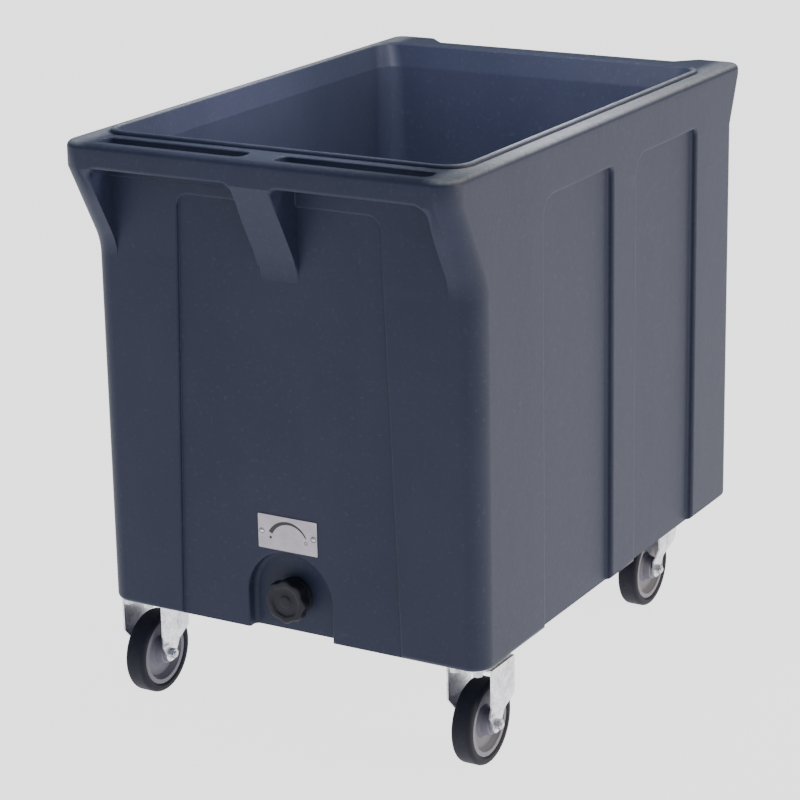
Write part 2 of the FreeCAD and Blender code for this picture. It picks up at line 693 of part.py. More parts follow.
def wheel_centre(x, y):
    """Hub, dished web and outer ring of a wheel."""
    web = 4.0
    rim = WHEEL_W / 2 - 2.0
    half = [
        (HUB_HALF, BEARING_R, 0),
        (HUB_HALF, 17.0, 1.5),
        (web + 5.0, 20.0, 2.0),
        (web, 24.0, 2.0),
        (web, 38.0, 2.0),
        (rim - 3.0, 42.0, 2.0),
        (rim, 43.0, 1.0),
        (rim, RIM_R, 1.0),
    ]
    return turned(half + [(-u, r, rounding) for u, r, rounding in reversed(half)], x, y)


def tyre(x, y):
    """Solid tread bonded round the wheel centre."""
    rim = WHEEL_W / 2 - 2.0
    half = [(rim, RIM_R, 0), (WHEEL_W / 2, RIM_R + 3.0, 1.5), (WHEEL_W / 2, WHEEL_D / 2, 6.0)]
    return turned(half + [(-u, r, rounding) for u, r, rounding in reversed(half)], x, y)


def write_castor(name, x, y, axle_y, swivels):
    save(name + "_plate", castor_plate(x, y, swivels))
    save(name + "_fork", swivel_fork(x, axle_y) if swivels else rigid_fork(x, axle_y))
    if swivels:
        save(name + "_kingpin", kingpin(x, y))
        save(name + "_ball_ring", ball_ring(x, y))
    save(name + "_axle_bolt", axle_bolt(x, axle_y))
    save(name + "_axle_nut", axle_nut(x, axle_y))
    save(name + "_axle_sleeve", axle_sleeve(x, axle_y))
    save(name + "_bearing", wheel_bearing(x, axle_y))
    save(name + "_wheel_centre", wheel_centre(x, axle_y))
    save(name + "_tyre", tyre(x, axle_y))


# ---------------------------------------------------------------- all nodes
def main():
    os.makedirs("parts", exist_ok=True)
    foam = foam_space()
    save("foam_core", foam)
    save("tub_shell", tub_shell(foam))
    ledge, ears = overhangs()
    save("grab_ledge", ledge)
    save("corner_ears", ears)
    makers = (
        castor_inserts, castor_washers, castor_bolts, valve_body, outer_gasket, valve_seal,
        inner_gasket, drain_locknut, drain_strainer, drain_spout, spout_nut, valve_plug,
        drain_knob, knob_screw, label_plate, label_screws,
    )
    for make in makers:
        save(make.__name__, make())
    for place in castor_places():
        write_castor(*place)


main()
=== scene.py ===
"""The wheeled insulated tote's looks: moulded tub, drain knob, label plate and castors."""

import json
import logging
import math
from dataclasses import dataclass, field
from enum import Enum
from typing import Callable, Iterable, Sequence

import bmesh
import bpy
from mathutils import Matrix, Vector

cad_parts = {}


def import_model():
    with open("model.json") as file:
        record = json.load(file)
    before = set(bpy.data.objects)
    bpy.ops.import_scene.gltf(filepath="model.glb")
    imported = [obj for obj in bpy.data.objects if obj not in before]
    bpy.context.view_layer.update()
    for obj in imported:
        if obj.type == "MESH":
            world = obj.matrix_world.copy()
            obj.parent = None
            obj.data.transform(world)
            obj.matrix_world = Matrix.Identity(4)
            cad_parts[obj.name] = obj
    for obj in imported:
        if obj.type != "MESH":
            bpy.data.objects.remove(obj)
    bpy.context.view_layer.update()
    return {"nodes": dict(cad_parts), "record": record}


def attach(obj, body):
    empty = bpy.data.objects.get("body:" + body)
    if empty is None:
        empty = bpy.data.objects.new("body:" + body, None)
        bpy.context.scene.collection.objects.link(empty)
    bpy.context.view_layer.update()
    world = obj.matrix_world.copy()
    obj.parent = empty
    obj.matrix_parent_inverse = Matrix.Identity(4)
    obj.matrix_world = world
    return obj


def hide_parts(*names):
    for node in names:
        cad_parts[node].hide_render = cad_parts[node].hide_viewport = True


LOG = logging.getLogger("tote")
MM = 0.001
FINISH_MARK = "_finish"
SQUARE = 0.5  # corner radius in millimetres where a tool's corner stays outside the body
HAIR = 0.03  # millimetres that a cut goes past a face it would otherwise lie in


# ---------------------------------------------------------------- shader arithmetic
class Value:
    """A shader socket that takes part in Python arithmetic. Each operation adds a Math node."""

    def __init__(self, graph: "Graph", socket: bpy.types.NodeSocket) -> None:
        """Wraps one output socket.

        Args:
            graph: the graph that the socket belongs to.
            socket: the output socket.
        """
        self.graph = graph
        self.socket = socket

    def __add__(self, other: "Number") -> "Value":
        """self + other."""
        return self.graph.math("ADD", self, other)

    def __radd__(self, other: "Number") -> "Value":
        """other + self."""
        return self.graph.math("ADD", other, self)

    def __sub__(self, other: "Number") -> "Value":
        """self - other."""
        return self.graph.math("SUBTRACT", self, other)

    def __rsub__(self, other: "Number") -> "Value":
        """other - self."""
        return self.graph.math("SUBTRACT", other, self)

    def __mul__(self, other: "Number") -> "Value":
        """self * other."""
        return self.graph.math("MULTIPLY", self, other)

    def __rmul__(self, other: "Number") -> "Value":
        """other * self."""
        return self.graph.math("MULTIPLY", other, self)

    def clamped(self) -> "Value":
        """self held between 0 and 1."""
        return self.graph.math("MINIMUM", self.graph.math("MAXIMUM", self, 0.0), 1.0)

    def most(self, other: "Number") -> "Value":
        """The larger of self and other."""
        return self.graph.math("MAXIMUM", self, other)

    def size(self) -> "Value":
        """self without its sign."""
        return self.graph.math("ABSOLUTE", self, None)

    def step(self, low: float, high: float) -> "Value":
        """Smooth rise from 0 at low to 1 at high.

        Args:
            low: where the rise starts.
            high: where the rise ends. It may be under low, for a fall.

        Returns:
            The smoothed share.
        """
        node = self.graph.node(
            "ShaderNodeMapRange",
            {"interpolation_type": "SMOOTHSTEP"},
            {"Value": self, "From Min": low, "From Max": high},
        )
        return self.graph.out(node, "Result")


Number = Value | float


class Graph:
    """One material's node tree, with short ways to add nodes."""

    def __init__(self, name: str) -> None:
        """Makes an empty material with an output and a Principled shader.

        Args:
            name: the material's name.
        """
        self.material = bpy.data.materials.new(name + FINISH_MARK)
        self.material.use_nodes = True
        self.tree = self.material.node_tree
        self.tree.nodes.clear()
        self.shader = self.tree.nodes.new("ShaderNodeBsdfPrincipled")
        output = self.tree.nodes.new("ShaderNodeOutputMaterial")
        self.tree.links.new(self.shader.outputs["BSDF"], output.inputs["Surface"])
        self._coords: Value | None = None

    def feed(self, socket: bpy.types.NodeSocket, value: object) -> None:
        """Gives a socket a number, a colour or a link.

        Args:
            socket: the input socket.
            value: a Value, or what the socket holds by default.
        """
        if isinstance(value, Value):
            self.tree.links.new(value.socket, socket)
        elif value is not None:
            socket.default_value = value

    def node(self, kind: str, settings: dict | None = None, sockets: dict | None = None) -> bpy.types.Node:
        """Adds any node.

        Args:
            kind: the node's type name.
            settings: its own settings, set before its sockets.
            sockets: values or links by socket name or index.

        Returns:
            The new node.
        """
        made = self.tree.nodes.new(kind)
        for key, value in (settings or {}).items():
            setattr(made, key, value)
        for key, value in (sockets or {}).items():
            self.feed(made.inputs[key], value)
        return made

    def out(self, node: bpy.types.Node, name: str | int) -> Value:
        """One of a node's outputs as a Value."""
        return Value(self, node.outputs[name])

    def math(self, operation: str, a: object, b: object = None) -> Value:
        """Adds a Math node.

        Args:
            operation: the node's operation.
            a: the first value.
            b: the second value, if it has one.

        Returns:
            The result.
        """
        return self.out(self.node("ShaderNodeMath", {"operation": operation}, {0: a, 1: b}), 0)

    def coords(self) -> Value:
        """Object coordinates, in metres."""
        if self._coords is None:
            self._coords = self.out(self.node("ShaderNodeTexCoord"), "Object")
        return self._coords

    def axes(self) -> tuple[Value, Value, Value]:
        """The three object coordinates on their own."""
        parts = self.node("ShaderNodeSeparateXYZ", None, {0: self.coords()})
        return self.out(parts, 0), self.out(parts, 1), self.out(parts, 2)

    def placed(self, scale: Sequence[float]) -> Value:
        """Object coordinates stretched.

        Args:
            scale: stretch along each axis.

        Returns:
            The new coordinates.
        """
        made = self.node("ShaderNodeMapping", None, {"Vector": self.coords(), "Scale": scale})
        return self.out(made, "Vector")

    def noise(
        self, scale: float, detail: float = 3.0, rough: float = 0.5, where: Value | None = None
    ) -> Value:
        """Cloudy noise from 0 to 1.

        Args:
            scale: repeats per metre.
            detail: octaves.
            rough: strength of the finer octaves.
            where: coordinates, or None for plain object coordinates.

        Returns:
            The noise value.
        """
        sockets = {"Vector": where or self.coords(), "Scale": scale, "Detail": detail, "Roughness": rough}
        return self.out(self.node("ShaderNodeTexNoise", None, sockets), "Fac")

    def cells(self, scale: float) -> Value:
        """Distance to the nearest of a scatter of points.

        Args:
            scale: points per metre.

        Returns:
            The distance.
        """
        sockets = {"Vector": self.coords(), "Scale": scale}
        return self.out(self.node("ShaderNodeTexVoronoi", None, sockets), "Distance")

    def mix(self, share: object, a: object, b: object) -> Value:
        """Mixes two colours.

        Args:
            share: how much of b shows.
            a: the first colour or Value.
            b: the second colour or Value.

        Returns:
            The mixed colour.
        """
        made = self.node("ShaderNodeMix", {"data_type": "RGBA"}, {0: share, 6: a, 7: b})
        return self.out(made, 2)

    def upward(self) -> Value:
        """How far the surface faces up, from -1 to 1."""
        geometry = self.out(self.node("ShaderNodeNewGeometry"), "Normal")
        return self.out(self.node("ShaderNodeSeparateXYZ", None, {0: geometry}), 2)

    def bump(self, height: Value, distance: float, strength: float) -> None:
        """Joins a height to the shader's normal.

        Args:
            height: the height, about 0 to 1.
            distance: metres for a height of 1.
            strength: how strongly it shows.
        """
        sockets = {"Height": height, "Distance": distance, "Strength": strength}
        made = self.node("ShaderNodeBump", None, sockets)
        self.feed(self.shader.inputs["Normal"], self.out(made, "Normal"))

    def dress(self, **sockets: object) -> bpy.types.Material:
        """Sets the shader's sockets and gives back the finished material.

        Args:
            sockets: values by socket name, with spaces written as underscores.

        Returns:
            The material.
        """
        for key, value in sockets.items():
            self.feed(self.shader.inputs[key.replace("_", " ")], value)
        return self.material


def shade(red: float, green: float, blue: float) -> tuple[float, float, float, float]:
    """A colour from three linear parts."""
    return (red, green, blue, 1.0)


# ---------------------------------------------------------------- finishes
@dataclass(frozen=True)
class TubPlastic:
    """Satin rotationally moulded polyethylene: faint mottle, orange peel, scuffs, settled dust and a
    painted reflection on the side rims.
    """

    name: str = "tub_plastic"
    deep: tuple = shade(0.0170, 0.0203, 0.0405)
    pale: tuple = shade(0.0215, 0.0252, 0.0480)
    # Settled dust colour, also mixed into the side rims as a painted reflection.
    dust: tuple = shade(0.26, 0.265, 0.28)
    roughness: float = 0.46

    def make(self) -> bpy.types.Material:
        """Builds the material."""
        g = Graph(self.name)
        x, _, z = g.axes()
        mottle = g.noise(5.0, 5.0, 0.55)
        streak = g.noise(1.0, 3.0, 0.5, g.placed((9.0, 9.0, 1.1)))
        grain = g.noise(160.0, 3.0, 0.6)
        scuff_field = g.noise(1.0, 6.0, 0.75, g.placed((22.0, 22.0, 60.0)))
        scuff = scuff_field.step(0.60, 0.74) * g.noise(7.0, 2.0).step(0.48, 0.66)
        flow = (mottle * 0.6 + streak * 0.4).step(0.34, 0.66)
        colour = g.mix(flow, self.deep, self.pale)
        colour = g.mix(grain.step(0.55, 0.8) * 0.05, colour, self.dust)
        top = g.upward().step(0.30, 0.95) * z.step(0.84, 0.862)
        # Painted reflection mixed with dust: the side rims' tops are lightened far more than the rest of
        # the rim.
        side_rim_dust_and_sheen = x.size().step(0.262, 0.290)
        colour = g.mix(top * (0.02 + 0.06 * grain + side_rim_dust_and_sheen * (0.16 + 0.50 * grain)), colour, self.dust)
        colour = g.mix(scuff * (0.05 + 0.10 * z.step(0.24, 0.165)), colour, self.dust)
        rough = self.roughness + mottle * 0.10 + scuff * 0.12 - grain * 0.05
        peel = g.noise(330.0, 2.0, 0.5)
        ripple = g.noise(38.0, 2.0, 0.4)
        g.bump(peel * 0.25 + ripple * 0.6 + grain * 0.2 - scuff * 0.12, 0.0009, 0.55)
        return g.dress(Base_Color=colour, Roughness=rough, Specular_IOR_Level=0.14)


@dataclass(frozen=True)
class MouldedPlastic:
    """Small moulded plastic parts, with a fine spark texture and rubbed high spots."""

    name: str
    body: tuple
    rubbed: tuple
    roughness: float = 0.42
    texture: float = 900.0

    def make(self) -> bpy.types.Material:
        """Builds the material."""
        g = Graph(self.name)
        cloud = g.noise(35.0, 4.0, 0.6)
        spark = g.noise(self.texture, 2.0, 0.5)
        wear = g.noise(120.0, 5.0, 0.7).step(0.58, 0.75)
        colour = g.mix(wear * 0.35 + cloud * 0.25, self.body, self.rubbed)
        g.bump(spark * 0.7 + wear * 0.3, 0.00025, 0.5)
        rough = self.roughness + cloud * 0.14 - wear * 0.06
        return g.dress(Base_Color=colour, Roughness=rough, Specular_IOR_Level=0.16)


@dataclass(frozen=True)
class PlatedSteel:
    """Bright zinc plate on pressed or turned steel: spangle, drawing lines and dull patches."""

    name: str
    bright: tuple = shade(0.74, 0.74, 0.79)
    dull: tuple = shade(0.40, 0.40, 0.45)
    roughness: float = 0.24
    line: tuple = (40.0, 40.0, 700.0)

    def make(self) -> bpy.types.Material:
        """Builds the material."""
        g = Graph(self.name)
        patch = g.noise(55.0, 4.0, 0.6)
        spangle = g.cells(240.0)
        drawn = g.noise(1.0, 3.0, 0.6, g.placed(self.line))
        tone = (patch * 0.7 + spangle * 0.25 + drawn * 0.15).step(0.35, 0.8)
        colour = g.mix(tone, self.bright, self.dull)
        g.bump(drawn * 0.6 + patch * 0.4, 0.00018, 0.5)
        rough = self.roughness + patch * 0.16 + spangle * 0.10
        return g.dress(Base_Color=colour, Roughness=rough, Metallic=1.0)


@dataclass(frozen=True)
class TyreRubber:
    """Charcoal non-marking tread: dusty on the tread face, with fine moulding rings on the walls."""

    name: str = "tyre_rubber"
    body: tuple = shade(0.010, 0.010, 0.017)
    dust: tuple = shade(0.030, 0.030, 0.042)

    def make(self) -> bpy.types.Material:
        """Builds the material."""
        g = Graph(self.name)
        cloud = g.noise(30.0, 4.0, 0.6)
        grit = g.noise(420.0, 3.0, 0.7)
        worn = g.noise(90.0, 5.0, 0.7).step(0.52, 0.72)
        colour = g.mix(worn * 0.35 + cloud * 0.25, self.body, self.dust)
        g.bump(grit * 0.7 + worn * 0.4, 0.0004, 0.6)
        return g.dress(Base_Color=colour, Roughness=0.52 + cloud * 0.18, Specular_IOR_Level=0.12)


@dataclass(frozen=True)
class DrainScale:
    """Brushed plate with a printed, tapering sweep that shows which way the drain opens, and painted shade
    round its two screws.
    """

    name: str
    plate: tuple = shade(0.36, 0.325, 0.365)
    brushed: tuple = shade(0.25, 0.225, 0.26)
    # Print colour, also used for the painted shade round the screws.
    ink_and_shade: tuple = shade(0.012, 0.012, 0.014)
    centre_x: float = 0.001
    centre_z: float = 0.297
    radius: float = 0.033
    first: float = math.radians(27.0)
    last: float = math.radians(153.0)
    thick: float = 0.0034
    thin: float = 0.0010
    mark_drop: float = 0.007
    mark_r: float = 0.0022
    mark_line: float = 0.0005
    print_edge: float = 0.00025
    screw_x: float = 0.043
    screw_z: float = 0.313

    def distance(self, g: Graph, x: Value, z: Value, x0: float, z0: float) -> Value:
        """Distance from a point of the plate, in metres.

        Args:
            g: the graph.
            x: object x.
            z: object z.
            x0: the point's x.
            z0: the point's z.

        Returns:
            The distance.
        """
        dx = x - x0
        dz = z - z0
        return g.math("SQRT", dx * dx + dz * dz)

    def make(self) -> bpy.types.Material:
        """Builds the material."""
        g = Graph(self.name)
        x, _, z = g.axes()
        dx = x - self.centre_x
        dz = z - self.centre_z
        away = self.distance(g, x, z, self.centre_x, self.centre_z)
        turn = g.math("ARCTAN2", dz, dx)
        share = (turn - self.first) * (1.0 / (self.last - self.first))
        half = self.thin + share.clamped() * (self.thick - self.thin)
        band = (away - self.radius).size() - half
        soft = self.print_edge
        sweep = band.step(soft, -soft) * share.step(-0.004, 0.004) * share.step(1.004, 0.996)
        ends = self.radius * math.cos(self.first)
        low = self.centre_z + self.radius * math.sin(self.first) - self.mark_drop
        full = self.distance(g, x, z, self.centre_x - ends, low) - self.mark_r
        outline = self.distance(g, x, z, self.centre_x + ends, low) - self.mark_r
        open_mark = outline.size() - self.mark_line
        marks = full.step(soft, -soft).most(open_mark.step(soft, -soft))
        print_mask = sweep.most(marks)
        brush = g.noise(1.0, 3.0, 0.6, g.placed((30.0, 30.0, 1600.0)))
        patch = g.noise(40.0, 4.0, 0.6)
        metal = g.mix((brush * 0.6 + patch * 0.4).step(0.3, 0.75), self.plate, self.brushed)
        colour = g.mix(print_mask, metal, self.ink_and_shade)
        # Painted shade: a dark disc under and round each screw head.
        for side in (-1.0, 1.0):
            screw_shade = self.distance(g, x, z, side * self.screw_x, self.screw_z).step(0.0050, 0.0036)
            colour = g.mix(screw_shade * 0.85, colour, self.ink_and_shade)
        g.bump(brush * 0.5 + patch * 0.2, 0.00012, 0.5)
        return g.dress(
            Base_Color=colour,
            Roughness=0.36 + patch * 0.14 + print_mask * 0.15,
            Metallic=0.75 - print_mask * 0.75,
        )


@dataclass(frozen=True)
class FoamCell:
    """Rigid foam, cut open: pale and cellular."""

    name: str = "foam"
    pale: tuple = shade(0.80, 0.72, 0.50)
    deep: tuple = shade(0.58, 0.48, 0.28)

    def make(self) -> bpy.types.Material:
        """Builds the material."""
        g = Graph(self.name)
        cells = g.cells(500.0)
        cloud = g.noise(25.0, 3.0)
        colour = g.mix(cells * 0.5 + cloud * 0.4, self.pale, self.deep)
        g.bump(cells, 0.0008, 0.8)
        return g.dress(Base_Color=colour, Roughness=0.85)


@dataclass(frozen=True)
class PaleFloor:
    """White light-table floor, so bright that shadows barely show on it."""

    name: str = "studio_floor"
    light: tuple = shade(0.14, 0.14, 0.14)
    dark: tuple = shade(0.12, 0.12, 0.12)
    glow_colour: tuple = shade(1.0, 1.0, 1.0)
    glow: float = 2.2

    def make(self) -> bpy.types.Material:
        """Builds the material."""
        g = Graph(self.name)
        cloud = g.noise(2.0, 2.0)
        colour = g.mix(cloud * 0.3, self.light, self.dark)
        glow = {"Emission_Color": self.glow_colour, "Emission_Strength": self.glow}
        return g.dress(Base_Color=colour, Roughness=0.9, Specular_IOR_Level=0.0, **glow)


class Finish(Enum):
    """Every finish on the tote, by the record's slot name."""

    TUB = TubPlastic()
    FOAM = FoamCell()
    BRASS = PlatedSteel("insert_brass", shade(0.70, 0.52, 0.24), shade(0.50, 0.36, 0.16), 0.34)
    FASTENER = PlatedSteel("fastener_steel", shade(0.60, 0.61, 0.64), shade(0.36, 0.37, 0.40), 0.30)
    ZINC = PlatedSteel("castor_zinc")
    VALVE = MouldedPlastic("valve_plastic", shade(0.020, 0.020, 0.024), shade(0.055, 0.055, 0.060), 0.42)
    SEAL = MouldedPlastic("seal_rubber", shade(0.018, 0.018, 0.019), shade(0.045, 0.045, 0.046), 0.62)
    KNOB = MouldedPlastic("knob_plastic", shade(0.009, 0.009, 0.014), shade(0.032, 0.031, 0.040), 0.40)
    LABEL = DrainScale("label_metal")
    WHEEL = MouldedPlastic("wheel_plastic", shade(0.135, 0.130, 0.165), shade(0.225, 0.215, 0.255), 0.44)
    TYRE = TyreRubber()

    @property
    def material(self) -> bpy.types.Material:
        """This finish's material, made on first use."""
        return bpy.data.materials.get(self.value.name + FINISH_MARK) or self.value.make()

    @property
    def slot(self) -> str:
        """The record's material slot."""
        return self.value.name


# ---------------------------------------------------------------- mesh tools
@dataclass(frozen=True)
class Section:
    """One level cut through the tub, a rectangle with rounded corners, in millimetres."""

    z: float
    half: float
    front: float
    back: float
    corner: float
    back_corner: float | None = None

    def points(self, per_corner: int) -> list[Vector]:
        """The outline, anticlockwise from above.

        Args:
            per_corner: steps in each corner.

        Returns:
            Points in metres.
        """
        rear = self.corner if self.back_corner is None else self.back_corner
        corners = (
            (self.half - self.corner, self.front + self.corner, self.corner, -90.0),
            (self.half - rear, self.back - rear, rear, 0.0),
            (-self.half + rear, self.back - rear, rear, 90.0),
            (-self.half + self.corner, self.front + self.corner, self.corner, 180.0),
        )
        found = []
        for x, y, r, start in corners:
            for i in range(per_corner + 1):
                turn = math.radians(start + 90.0 * i / per_corner)
                found.append(Vector((x + r * math.cos(turn), y + r * math.sin(turn), self.z)) * MM)
        return found


@dataclass(frozen=True)
class Outline:
    """A closed flat outline of corners (u, v, radius) in millimetres."""

    corners: tuple[tuple[float, float, float], ...]

    def points(self, steps: int) -> list[tuple[float, float]]:
        """The rounded outline.

        Args:
            steps: steps in each rounded corner.

        Returns:
            (u, v) pairs in millimetres.
        """
        found: list[tuple[float, float]] = []
        count = len(self.corners)
        for i, (u, v, r) in enumerate(self.corners):
            corner = Vector((u, v))
            before = (Vector(self.corners[i - 1][:2]) - corner).normalized()
            after = (Vector(self.corners[(i + 1) % count][:2]) - corner).normalized()
            half = before.angle(after) / 2
            reach = r / math.tan(half)
            centre = corner + (before + after).normalized() * (r / math.sin(half))
            start = corner + before * reach - centre
            end = corner + after * reach - centre
            for k in range(steps + 1):
                share = k / steps
                arm = start.slerp(end, share) * r
                found.append(tuple(centre + arm))
        return found


class Loft:
    """A closed skin pulled through matching rings of points."""

    def __init__(self, first: Sequence[Vector]) -> None:
        """Starts from a circle moved on to the first ring, closed with a face.

        Args:
            first: the first ring's points, in metres.
        """
        self.mesh = bmesh.new()
        made = bmesh.ops.create_circle(self.mesh, cap_ends=False, segments=len(first), radius=1.0)
        self.ring = list(made["verts"])
        self._move(first)
        self.cap()

    def _move(self, points: Sequence[Vector]) -> None:
        """Moves the open ring on to new points."""
        for vert, point in zip(self.ring, points, strict=True):
            vert.co = point

    def _edges(self) -> list[bmesh.types.BMEdge]:
        """Edges of the open ring, in order."""
        after = self.ring[1:] + self.ring[:1]
        return [self.mesh.edges.get(pair) for pair in zip(self.ring, after)]

    def pull(self, points: Sequence[Vector]) -> "Loft":
        """Extrudes the open ring and moves the new one.

        Args:
            points: the new ring's points, in metres.

        Returns:
            This loft.
        """
        place = {vert: i for i, vert in enumerate(self.ring)}
        made = bmesh.ops.extrude_edge_only(self.mesh, edges=self._edges())
        fresh: list[bmesh.types.BMVert] = [None] * len(self.ring)
        for item in made["geom"]:
            if isinstance(item, bmesh.types.BMVert):
                for edge in item.link_edges:
                    old = edge.other_vert(item)
                    if old in place:
                        fresh[place[old]] = item
        self.ring = fresh
        self._move(points)
        return self

    def cap(self) -> "Loft":
        """Closes the open ring with one face."""
        bmesh.ops.contextual_create(self.mesh, geom=self._edges())
        return self


def skin(rings: Sequence[Sequence[Vector]]) -> bmesh.types.BMesh:
    """A closed skin through a list of rings, capped at both ends.

    Args:
        rings: each ring's points, in metres.

    Returns:
        The bmesh.
    """
    loft = Loft(rings[0])
    for ring in rings[1:]:
        loft.pull(ring)
    return loft.cap().mesh


def arc(start: float, end: float, steps: int) -> list[float]:
    """Angles from start to end degrees, in radians."""
    return [math.radians(start + (end - start) * i / steps) for i in range(steps + 1)]


def eased(height: float, reach: float) -> float:
    """A height above a crease, with the crease rounded off.

    Args:
        height: the height above the crease.
        reach: how far the rounding goes on each side.

    Returns:
        The eased height.
    """
    return (height + reach) ** 2 / (4 * reach) if abs(height) < reach else height


def finish_mesh(
    mesh: bmesh.types.BMesh, name: str, finish: Finish, angle: float = 35.0
) -> bpy.types.Object:
    """Turns a bmesh into an object with smooth shading and one finish.

    Args:
        mesh: the bmesh, which is freed.
        name: the object's name.
        finish: its finish.
        angle: edges sharper than this many degrees stay sharp.

    Returns:
        The new object, at the origin.
    """
    bmesh.ops.remove_doubles(mesh, verts=mesh.verts, dist=0.00001)
    bmesh.ops.recalc_face_normals(mesh, faces=mesh.faces)
    data = bpy.data.meshes.new(name)
    mesh.to_mesh(data)
    mesh.free()
    data.shade_smooth()
    data.set_sharp_from_angle(angle=math.radians(angle))
    data.materials.append(finish.material)
    made = bpy.data.objects.new(name, data)
    bpy.context.scene.collection.objects.link(made)
    return made


def joined(meshes: Iterable[bmesh.types.BMesh]) -> bmesh.types.BMesh:
    """Puts several bmeshes into one.

    Args:
        meshes: the bmeshes, which are freed.

    Returns:
        One bmesh with all of them.
    """
    whole = bmesh.new()
    for mesh in meshes:
        bmesh.ops.recalc_face_normals(mesh, faces=mesh.faces)
        part = bpy.data.meshes.new("part")
        mesh.to_mesh(part)
        mesh.free()
        whole.from_mesh(part)
        bpy.data.meshes.remove(part)
    return whole


class Cut(Enum):
    """What a tool does to the body it meets."""

    AWAY = "DIFFERENCE"
    ON = "UNION"


def carve(body: bpy.types.Object, tool: bmesh.types.BMesh, cut: Cut) -> None:
    """Cuts a tool out of a body, or adds it on.

    Args:
        body: the object to change.
        tool: the tool's bmesh, which is freed.
        cut: which of the two.
    """
    blade = finish_mesh(tool, "tool", Finish.TUB)
    step = body.modifiers.new("carve", "BOOLEAN")
    step.operation = cut.value
    step.solver = "EXACT"
    step.object = blade
    settle(body)
    bpy.data.objects.remove(blade)


def settle(body: bpy.types.Object) -> None:
    """Makes an object's modifiers part of its mesh."""
    graph = bpy.context.evaluated_depsgraph_get()
    old = body.data
    body.data = bpy.data.meshes.new_from_object(body.evaluated_get(graph))
    body.modifiers.clear()
    bpy.data.meshes.remove(old)


def even_normals(body: bpy.types.Object, angle: float) -> None:
    """Keeps flat faces flat beside rounded edges.

    Args:
        body: the object.
        angle: edges sharper than this many degrees stay sharp.
    """
    body.data.shade_smooth()
    body.data.set_sharp_from_angle(angle=math.radians(angle))
    step = body.modifiers.new("even", "WEIGHTED_NORMAL")
    step.mode = "FACE_AREA"
    step.weight = 60
    step.keep_sharp = True
    settle(body)


@dataclass(frozen=True)
class Press:
    """A tool that presses an outline into a face, with a rounded edge and a rounded foot."""

    depth: float
    edge: float
    foot: float
    steps: int = 5
    lead: float = 2.0

    def rings(self) -> list[tuple[float, float]]:
        """(depth, growth) of each ring, from outside the face to the bottom, in millimetres."""
        found = [(-self.lead, self.edge)]
        for turn in arc(0.0, 90.0, self.steps):
            found.append((self.edge * (1 - math.cos(turn)), self.edge * (1 - math.sin(turn))))
        low = self.depth - self.foot
        for turn in arc(0.0, 90.0, self.steps):
            found.append((low + self.foot * math.sin(turn), self.foot * (math.cos(turn) - 1)))
        return found

    def tool(self, ring_at: Callable[[float, float], list[Vector]]) -> bmesh.types.BMesh:
        """Builds the tool.

        Args:
            ring_at: gives a ring's points in metres from its depth and growth in millimetres.

        Returns:
            The tool's bmesh.
        """
        return skin([ring_at(depth, growth) for depth, growth in self.rings()])


